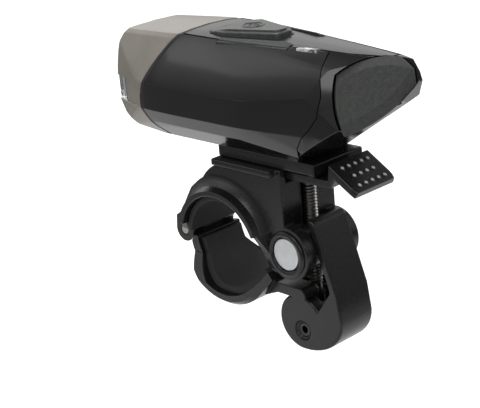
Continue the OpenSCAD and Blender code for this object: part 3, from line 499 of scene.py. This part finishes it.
def smooth(obj, angle):
    alone(obj)
    bpy.ops.object.shade_smooth_by_angle(angle=math.radians(angle))


def paint(obj, finish):
    obj.data.materials.clear()
    obj.data.materials.append(FINISHES[finish])


def finish_nodes(*nodes):
    for node in nodes:
        paint(frame["nodes"][node], slot_of(node))


def hand_over(obj, body, slot, finish=None, nodes=()):
    """Gives a finished piece its finish, its body and the nodes that it stands for."""
    paint(obj, finish or slot)
    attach(obj, body)
    if nodes:
        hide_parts(*nodes)
    return obj


def stand_for(obj, node, finish=None):
    """Hands over a piece that stands for one node."""
    return hand_over(obj, body_of(node), slot_of(node), finish, (node,))


def copy_of(node, name, weld=0.02 * MM, flat=0.4):
    """A copy of a node's solid with its loose triangles joined and its flat faces whole."""
    source = frame["nodes"][node]
    obj = bpy.data.objects.new(name, source.data.copy())
    bpy.context.scene.collection.objects.link(obj)
    obj.data.materials.clear()
    edit(obj)
    bpy.ops.mesh.customdata_custom_splitnormals_clear()
    bpy.ops.mesh.remove_doubles(threshold=weld)
    bpy.ops.mesh.dissolve_degenerate(threshold=weld)
    bpy.ops.mesh.dissolve_limited(angle_limit=math.radians(flat))
    done()
    return obj


def weigh_edges(obj, width, angle, widths):
    """Marks the edges to round, each line as wide as it asks and as the faces beside it have room for."""
    shape = bmesh.new()
    shape.from_mesh(obj.data)
    layer = shape.edges.layers.float.new("bevel_weight_edge")
    line = {edge: edge for edge in shape.edges
            if edge.is_manifold and edge.calc_face_angle() > math.radians(angle)}

    def first(edge):
        while line[edge] is not edge:
            line[edge] = line[line[edge]]
            edge = line[edge]
        return edge

    for vertex in shape.verts:
        meet = [(edge, (edge.other_vert(vertex).co - vertex.co).normalized())
                for edge in vertex.link_edges if edge in line]
        for i, (one, out) in enumerate(meet):
            for other, back in meet[:i]:
                if out.dot(back) < LINE_BEND:
                    line[first(one)] = first(other)
    rooms = {}
    for edge in line:
        one, other = edge.verts
        room = widths((one.co + other.co) / 2) if widths else width
        for loop in edge.link_loops:
            ahead = loop.link_loop_next
            for beside, corner in ((loop.link_loop_prev.edge, loop.vert), (ahead.edge, ahead.vert)):
                share = SHARED_ROOM if beside in line else FREE_ROOM
                out = edge.other_vert(corner).co - corner.co
                way = beside.other_vert(corner).co - corner.co
                turn = out.angle(way, 0.0)
                if turn < SHARP_CORNER and beside in line:
                    room = min(room, min(out.length, way.length) * math.tan(turn / 2) * share)
                elif turn < OPEN_CORNER:
                    room = min(room, way.length * math.sin(turn) * share)
        rooms[first(edge)] = min(rooms.get(first(edge), width), room)
    for edge in line:
        edge[layer] = rooms[first(edge)] / width
    shape.to_mesh(obj.data)
    shape.free()


def hold(obj, node, reach):
    """Draws the corners that the rounding throws too far off a node's solid back to its surface."""
    surface = surface_of(node)
    for vertex in obj.data.vertices:
        place, _, _, off = surface.find_nearest(vertex.co)
        if off > reach:
            vertex.co = place


def rounded_copy(node, width, angle=12, smooth_angle=32, widths=None, finish=None):
    """A node's solid with its edges rounded, standing for the node.

    The edges that bend by more than an angle are rounded. widths gives each its own width, up to width.
    """
    obj = copy_of(node, node + "_finished")
    weigh_edges(obj, width, angle, widths)
    apply(obj, "BEVEL", width=width, segments=sizes().round_steps, limit_method="WEIGHT",
          use_clamp_overlap=False)
    hold(obj, node, width * STRAY)
    smooth(obj, smooth_angle)
    apply(obj, "WEIGHTED_NORMAL", keep_sharp=True)
    apply(obj, "TRIANGULATE", keep_custom_normals=True)
    return stand_for(obj, node, finish)


def paint_seam_shadows(obj, neighbours, reach):
    """Blackens the rounded lips of a piece where it meets its neighbours, as a painted shadow in the gap."""
    obj.data.materials.append(FINISHES["painted_seam_shadow"])
    for surface in map(surface_of, neighbours):
        for face in obj.data.polygons:
            if surface.find_nearest(face.center, reach)[0]:
                face.material_index = 1


def crown(obj, low, high, power):
    """Shades the side panels between two heights as one bulge, whose lean grows upwards by a power."""
    mesh = obj.data
    normals = [Vector(corner.vector) for corner in mesh.corner_normals]
    for face in mesh.polygons:
        outward = face.normal.x * math.copysign(1, face.center.x)
        leans = PANEL_LEAN[0] < face.normal.z < PANEL_LEAN[1]
        if face.center.z > low and outward > PANEL_OUTWARD and leans:
            for i in face.loop_indices:
                rise = (mesh.vertices[mesh.loops[i].vertex_index].co.z - low) / (high - low)
                lean = math.radians(FOOT_LEAN + ADDED_LEAN * max(rise, 0) ** power)
                level = Vector((normals[i].x, normals[i].y, 0)).normalized()
                normals[i] = level * math.cos(lean) + Vector((0, 0, math.sin(lean)))
    mesh.normals_split_custom_set(normals)


class HEADLIGHT_OT_shell(bpy.types.Operator):
    """Rounds and finishes the housing, tail, top panel and shoe"""

    bl_idname = "headlight.shell"
    bl_label = "Shell"

    def execute(self, context):
        width = sizes().shell_round
        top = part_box("main_housing")[1].z
        seams = {"main_housing": ("tail_cap", "top_cover"), "tail_cap": ("main_housing", "top_cover"),
                 "top_cover": ("main_housing", "tail_cap")}
        for node, neighbours in seams.items():
            piece = rounded_copy(node, width)
            # the lips along each joint are painted black as the shadow in the gap
            paint_seam_shadows(piece, neighbours, width * SEAM_SHADOW_REACH)
            if node in BULGE:
                crown(piece, top - PANEL_HEIGHT, top, BULGE[node])
        rounded_copy("mount_shoe", width)
        # a painted shadow line round the top panel
        self.paint_cover_shadow_line()
        finish_nodes("shoe_screws", "charge_window")
        return {"FINISHED"}

    def paint_cover_shadow_line(self):
        """A black sheet just below the top panel, a painted shadow that shows as a line round the panel."""
        wider, longer, drop = 1.06, 1.008, 0.35 * MM
        shadow_sheet = copy_of("top_cover", "cover_shadow_line")
        stretch(shadow_sheet, (wider, longer, 1), centre_of("top_cover"))
        edit(shadow_sheet)
        bpy.ops.transform.translate(value=(0, 0, -drop))
        done()
        hand_over(shadow_sheet, body_of("top_cover"), "gasket_black", "painted_seam_shadow")


class HEADLIGHT_OT_front(bpy.types.Operator):
    """Rounds and finishes the front cap, its gasket and the lens"""

    bl_idname = "headlight.front"
    bl_label = "Front"

    def execute(self, context):
        rounded_copy("front_cap", sizes().shell_round)
        proud = 1.016
        gasket = copy_of("cap_gasket", "cap_gasket_finished")
        stretch(gasket, (proud, 1, proud), centre_of("cap_gasket"))
        smooth(gasket, 30)
        stand_for(gasket, "cap_gasket")
        self.paint_lens()
        return {"FINISHED"}

    def paint_lens(self):
        """The lens, with the rear of its sides painted as the cap behind a black line."""
        side = 12 * MM
        grey_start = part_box("lens")[1].y - 8.2 * MM
        line_start = grey_start - 0.5 * MM
        lens = copy_of("lens", "lens_finished")
        for start in (grey_start, line_start):
            edit(lens)
            bpy.ops.mesh.bisect(plane_co=(0, start, 0), plane_no=(0, 1, 0))
            done()
        smooth(lens, 30)
        stand_for(lens, "lens")
        lens.data.materials.append(FINISHES["gasket_black"])
        lens.data.materials.append(FINISHES["cap_grey"])
        for face in lens.data.polygons:
            if abs(face.center.x) > side:
                face.material_index = (face.center.y > line_start) + (face.center.y > grey_start)


class HEADLIGHT_OT_inside(bpy.types.Operator):
    """Finishes the light, the boards and the cell"""

    bl_idname = "headlight.inside"
    bl_label = "Inside"

    def execute(self, context):
        finish_nodes("reflector", "led", "led_board", "heat_sink", "battery_cell", "cell_cradle",
                     "control_board", "tact_switch", "usb_socket")
        return {"FINISHED"}


class HEADLIGHT_OT_clamp(bpy.types.Operator):
    """Rounds and finishes the jaws, pads, pins and nut"""

    bl_idname = "headlight.clamp"
    bl_label = "Clamp"

    def execute(self, context):
        width = sizes().clamp_round
        nut = centre_of("barrel_nut")
        rim_inside, rim_outside, rim_side = 5 * MM, 10 * MM, 14 * MM

        def boss_width(middle):
            """The rim round the nut is rounded twice as wide as the other edges."""
            reach = math.hypot(middle.y - nut.y, middle.z - nut.z)
            return width * (2 if rim_inside < reach < rim_outside and abs(middle.x) > rim_side else 1)

        rounded_copy("upper_jaw", width * 2, CLAMP_ANGLE, widths=boss_width)
        self.add_collars(nut)
        rounded_copy("lower_jaw", width, CLAMP_ANGLE)
        for node in ("upper_pad", "lower_pad"):
            rounded_copy(node, sizes().soft_round)
        for node in ("barrel_nut", "clamp_hinge_pin"):
            rounded_copy(node, sizes().metal_round)
        return {"FINISHED"}

    def add_collars(self, nut):
        """The raised lips round the two ends of the nut."""
        radius, thickness, flatness = 7.0 * MM, 1.1 * MM, 0.7
        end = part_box("barrel_nut")[1].x - 0.3 * MM
        for name, place in (("nut_collar_right", -end), ("nut_collar_left", end)):
            collar = added(bpy.ops.mesh.primitive_torus_add, major_radius=radius, minor_radius=thickness,
                           major_segments=72, minor_segments=16, rotation=(0, math.pi / 2, 0),
                           location=(place, nut.y, nut.z))
            collar.name = name
            stretch(collar, (flatness, 1, 1), (place, nut.y, nut.z))
            smooth(collar, 60)
            hand_over(collar, body_of("upper_jaw"), "clamp_black")


class HEADLIGHT_OT_bolt(bpy.types.Operator):
    """Models the clamp bolt with its eye and its thread"""

    bl_idname = "headlight.bolt"
    bl_label = "Bolt"

    def execute(self, context):
        nut = centre_of("barrel_nut")
        radius = 2.5 * MM
        start, end = nut.z - 14 * MM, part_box("clamp_bolt")[1].z
        inner = radius - sizes().thread_depth
        eye = copy_of("clamp_bolt", "bolt_eye")
        edit(eye)
        bpy.ops.mesh.bisect(plane_co=(0, 0, start), plane_no=(0, 0, 1), use_fill=True, clear_outer=True)
        done()
        core = added(bpy.ops.mesh.primitive_cylinder_add, vertices=40, radius=inner, depth=end - start,
                     location=(0, nut.y, (end + start) / 2))
        break_edges(core, 0.3 * MM)
        thread = self.wind_thread(radius, inner - 0.05 * MM, end - start)
        thread.location = (0, nut.y, start + sizes().thread_pitch * 0.5)
        settle(thread)
        bolt = joined("clamp_bolt_finished", eye, core, thread)
        smooth(bolt, 40)
        stand_for(bolt, "clamp_bolt")
        return {"FINISHED"}

    def wind_thread(self, crest, root, length):
        """A thread of triangular section, closed at both ends, round the upright axis."""
        pitch = sizes().thread_pitch
        thread = added(bpy.ops.mesh.primitive_circle_add, vertices=3, radius=1.0, fill_type="NGON")
        corners = ((root, -pitch * 0.46), (crest, -pitch * 0.04), (root, pitch * 0.46))
        for vertex, (out, up) in zip(thread.data.vertices, corners):
            vertex.co = (out, 0, up)
        apply(thread, "SCREW", axis="Z", screw_offset=pitch, angle=2 * math.pi,
              iterations=int((length - pitch) / pitch), steps=24, render_steps=24,
              use_merge_vertices=True, merge_threshold=1e-6)
        edit(thread)
        bpy.ops.mesh.fill_holes(sides=3)
        bpy.ops.mesh.select_all(action="SELECT")
        bpy.ops.mesh.normals_make_consistent(inside=False)
        done()
        return thread


class HEADLIGHT_OT_lever(bpy.types.Operator):
    """Rounds and finishes the cam lever and its pin"""

    bl_idname = "headlight.lever"
    bl_label = "Cam lever"

    def execute(self, context):
        width = sizes().clamp_round
        arm_start, arm_foot = 31 * MM, -32 * MM

        def arm_width(middle):
            """The outer edges of the arm are rounded twice as wide as the other edges."""
            return width * (3 if middle.y > arm_start and middle.z > arm_foot else 1.5)

        rounded_copy("cam_lever", width * 3, CLAMP_ANGLE, widths=arm_width)
        rounded_copy("lever_pin", sizes().metal_round, finish="pin_dark")
        return {"FINISHED"}


class HEADLIGHT_OT_tab(bpy.types.Operator):
    """Rounds and finishes the release tab, with the bumps on its grip painted pale as glints"""

    bl_idname = "headlight.tab"
    bl_label = "Release tab"

    def execute(self, context):
        glint_height = 0.28 * MM
        tab = rounded_copy("release_tab", sizes().clamp_round, angle=24, smooth_angle=36)
        tab.data.materials.append(FINISHES["painted_bump_glint"])
        grip = max((face for face in tab.data.polygons if face.normal.y > 0.3 and face.normal.z > 0.6),
                   key=lambda face: face.area)
        # faces that stand above the grip take the painted glints
        for face in tab.data.polygons:
            face.material_index = (face.center - grip.center).dot(grip.normal) > glint_height
        return {"FINISHED"}


class HEADLIGHT_OT_button(bpy.types.Operator):
    """Rounds the button and its ridges, and raises the power sign on it"""

    bl_idname = "headlight.button"
    bl_label = "Button"

    def execute(self, context):
        rounded_copy("power_button", sizes().soft_round, finish="button_rubber")
        rounded_copy("button_ridges", sizes().metal_round)
        low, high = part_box("power_button")
        centre = Vector((0, low.y + 13.4 * MM, high.z))
        radius = sizes().symbol_radius
        ring = added(bpy.ops.mesh.primitive_torus_add, major_radius=radius, minor_radius=0.28 * MM,
                     major_segments=64, minor_segments=10, location=centre)
        line = 0.24 * MM
        arc = added(bpy.ops.mesh.primitive_torus_add, major_radius=radius * 0.5, minor_radius=line,
                    major_segments=48, minor_segments=10, location=centre)
        self.open_arc(arc, centre, math.radians(32))
        stroke = added(bpy.ops.mesh.primitive_cylinder_add, vertices=10, radius=line, depth=radius * 0.5,
                       location=centre + Vector((0, radius * 0.42, 0)), rotation=(math.pi / 2, 0, 0))
        break_edges(stroke, 0.1 * MM)
        sign = joined("power_sign", ring, arc, stroke)
        smooth(sign, 50)
        hand_over(sign, "button", "soft_grey", "button_rubber")
        return {"FINISHED"}

    def open_arc(self, arc, centre, half_gap):
        """Cuts a gap into the back of a ring and closes its two ends."""
        edit(arc)
        bpy.ops.mesh.select_all(action="DESELECT")
        shape = bmesh.from_edit_mesh(arc.data)
        for face in shape.faces:
            way = face.calc_center_median() - centre
            face.select_set(way.y > 0 and abs(math.atan2(way.x, way.y)) < half_gap)
        bmesh.update_edit_mesh(arc.data)
        bpy.ops.mesh.delete(type="FACE")
        bpy.ops.mesh.select_all(action="SELECT")
        bpy.ops.mesh.fill_holes(sides=0)
        done()


class HEADLIGHT_OT_port_cover(bpy.types.Operator):
    """Rounds and finishes the charging port cover"""

    bl_idname = "headlight.port_cover"
    bl_label = "Port cover"

    def execute(self, context):
        rounded_copy("usb_cover", sizes().soft_round * 0.7)
        return {"FINISHED"}


class HEADLIGHT_OT_stage(bpy.types.Operator):
    """Sets the floor, the lights and the camera"""

    bl_idname = "headlight.stage"
    bl_label = "Stage"

    def execute(self, context):
        context.scene.view_settings.view_transform = "Standard"
        self.lay_floor()
        self.hang_lights(context.scene)
        self.light_world(context.scene)
        self.set_camera(context.scene)
        return {"FINISHED"}

    def lay_floor(self):
        """A pale floor below the opened lever; in reflections it is pale near the part and dark far off, a
        painted pool of light.
        """
        lever_room = 38 * MM
        far, near, middle = 0.32, 0.18, 0.015
        floor = added(bpy.ops.mesh.primitive_plane_add, size=6, location=(0, 0, CAD_BOX[0].z - lever_room))
        floor.name = "floor"
        finish = Finish("pale_floor", roughness=0.9, specular_ior_level=0.0, emission_strength=1.0)
        seen = finish.node("LightPath", out="Is Camera Ray")
        pale = finish.blend(finish.noise(scale=4), grey(0.48), grey(0.52))
        reach = (finish.axis("X") ** 2 + (finish.axis("Y") - middle) ** 2) ** 0.5
        # painted pool of light round the part, seen by all rays but the camera's
        painted_light_pool = finish.blend(reach.span(far, near), grey(0.22), grey(0.85))
        finish.colour(finish.blend(seen, painted_light_pool, pale))
        finish.feed(finish.shader.inputs["Emission Color"], finish.blend(seen, grey(0.0), grey(0.76)))
        floor.data.materials.append(finish.material)

    def hang_lights(self, scene):
        """Soft lights that all face the middle of the part."""
        low, high = CAD_BOX
        for name, place, size, power in SOFTBOXES:
            lamp = bpy.data.lights.new(name, "AREA")
            lamp.energy = power
            lamp.shape = "SQUARE"
            lamp.size = size
            holder = bpy.data.objects.new(name, lamp)
            scene.collection.objects.link(holder)
            holder.location = (low + high) / 2 + Vector(place)
            holder.rotation_mode = "QUATERNION"
            holder.rotation_quaternion = (-Vector(place)).to_track_quat("-Z", "Y")
            holder.visible_camera = False

    def light_world(self, scene):
        """A white surround, graded by height and side where the part mirrors it."""
        bright_side = (-0.675, -0.738, 0.0)
        stops = ((0.0, 0.45), (0.25, 1.0), (0.45, 1.0), (0.62, 0.35))
        plain = (("Is Diffuse Ray", 0.4), ("Is Camera Ray", 1.0), ("Is Transmission Ray", 1.0))
        scene.world = bpy.data.worlds.new("studio")
        scene.world.use_nodes = True
        sky = Nodes(scene.world.node_tree)
        way = sky.node("TexCoord", out="Generated")
        rise = sky.node("ValToRGB", {"stops": stops}, {0: sky.node("SeparateXYZ", None, {0: way}, out="Z")})
        facing = sky.node("VectorMath", {"operation": "DOT_PRODUCT"}, {0: way, 1: bright_side}, out="Value")
        level = rise * facing.span(-0.6, 0.8, low=0.5, high=1.0)
        for ray, strength in plain:
            level = sky.node("Mix", None, {"Factor": sky.node("LightPath", out=ray), "A": level,
                                           "B": strength}, out="Result")
        background = sky.tree.nodes["Background"]
        sky.feed(background.inputs["Color"], grey(1.0))
        sky.feed(background.inputs["Strength"], level)

    def set_camera(self, scene):
        """The camera at the photograph's viewing angle."""
        place = Vector((0.2875895, 0.3089144, 0.1609482))
        right = Vector((-0.7145218, 0.6943983, -0.0852614))
        down = Vector((0.2918272, 0.1850637, -0.9383967))
        ahead = Vector((-0.6358423, -0.6953865, -0.3348763))
        camera = bpy.data.cameras.new("camera")
        camera.lens = 95.706
        camera.sensor_width = 36.0
        camera.clip_start = 0.01
        eye = bpy.data.objects.new("camera", camera)
        scene.collection.objects.link(eye)
        turn = Matrix((right, -down, -ahead)).transposed().to_4x4()
        eye.matrix_world = Matrix.Translation(place) @ turn
        scene.camera = eye


class HEADLIGHT_PT_panel(bpy.types.Panel):
    """Lists the headlight's sizes, colours and pieces"""

    bl_label = "Headlight"
    bl_idname = "HEADLIGHT_PT_panel"
    bl_space_type = "VIEW_3D"
    bl_region_type = "UI"
    bl_category = "Headlight"

    def draw(self, context):
        for group in (context.scene.headlight_sizes, context.scene.headlight_colours):
            for name in group.__annotations__:
                self.layout.prop(group, name)
        for piece in PIECES:
            self.layout.operator(piece.bl_idname)


PIECES = (HEADLIGHT_OT_stage, HEADLIGHT_OT_shell, HEADLIGHT_OT_front, HEADLIGHT_OT_inside,
          HEADLIGHT_OT_clamp, HEADLIGHT_OT_bolt, HEADLIGHT_OT_lever, HEADLIGHT_OT_tab, HEADLIGHT_OT_button,
          HEADLIGHT_OT_port_cover)
CLASSES = (HeadlightSizes, HeadlightColours, *PIECES, HEADLIGHT_PT_panel)


def register():
    for item in CLASSES:
        bpy.utils.register_class(item)
    bpy.types.Scene.headlight_sizes = PointerProperty(type=HeadlightSizes)
    bpy.types.Scene.headlight_colours = PointerProperty(type=HeadlightColours)


def unregister():
    del bpy.types.Scene.headlight_colours
    del bpy.types.Scene.headlight_sizes
    for item in reversed(CLASSES):
        bpy.utils.unregister_class(item)


def main():
    register()
    make_finishes()
    for piece in PIECES:
        group, name = piece.bl_idname.split(".")
        getattr(getattr(bpy.ops, group), name)()


if __name__ == "__main__":
    main()
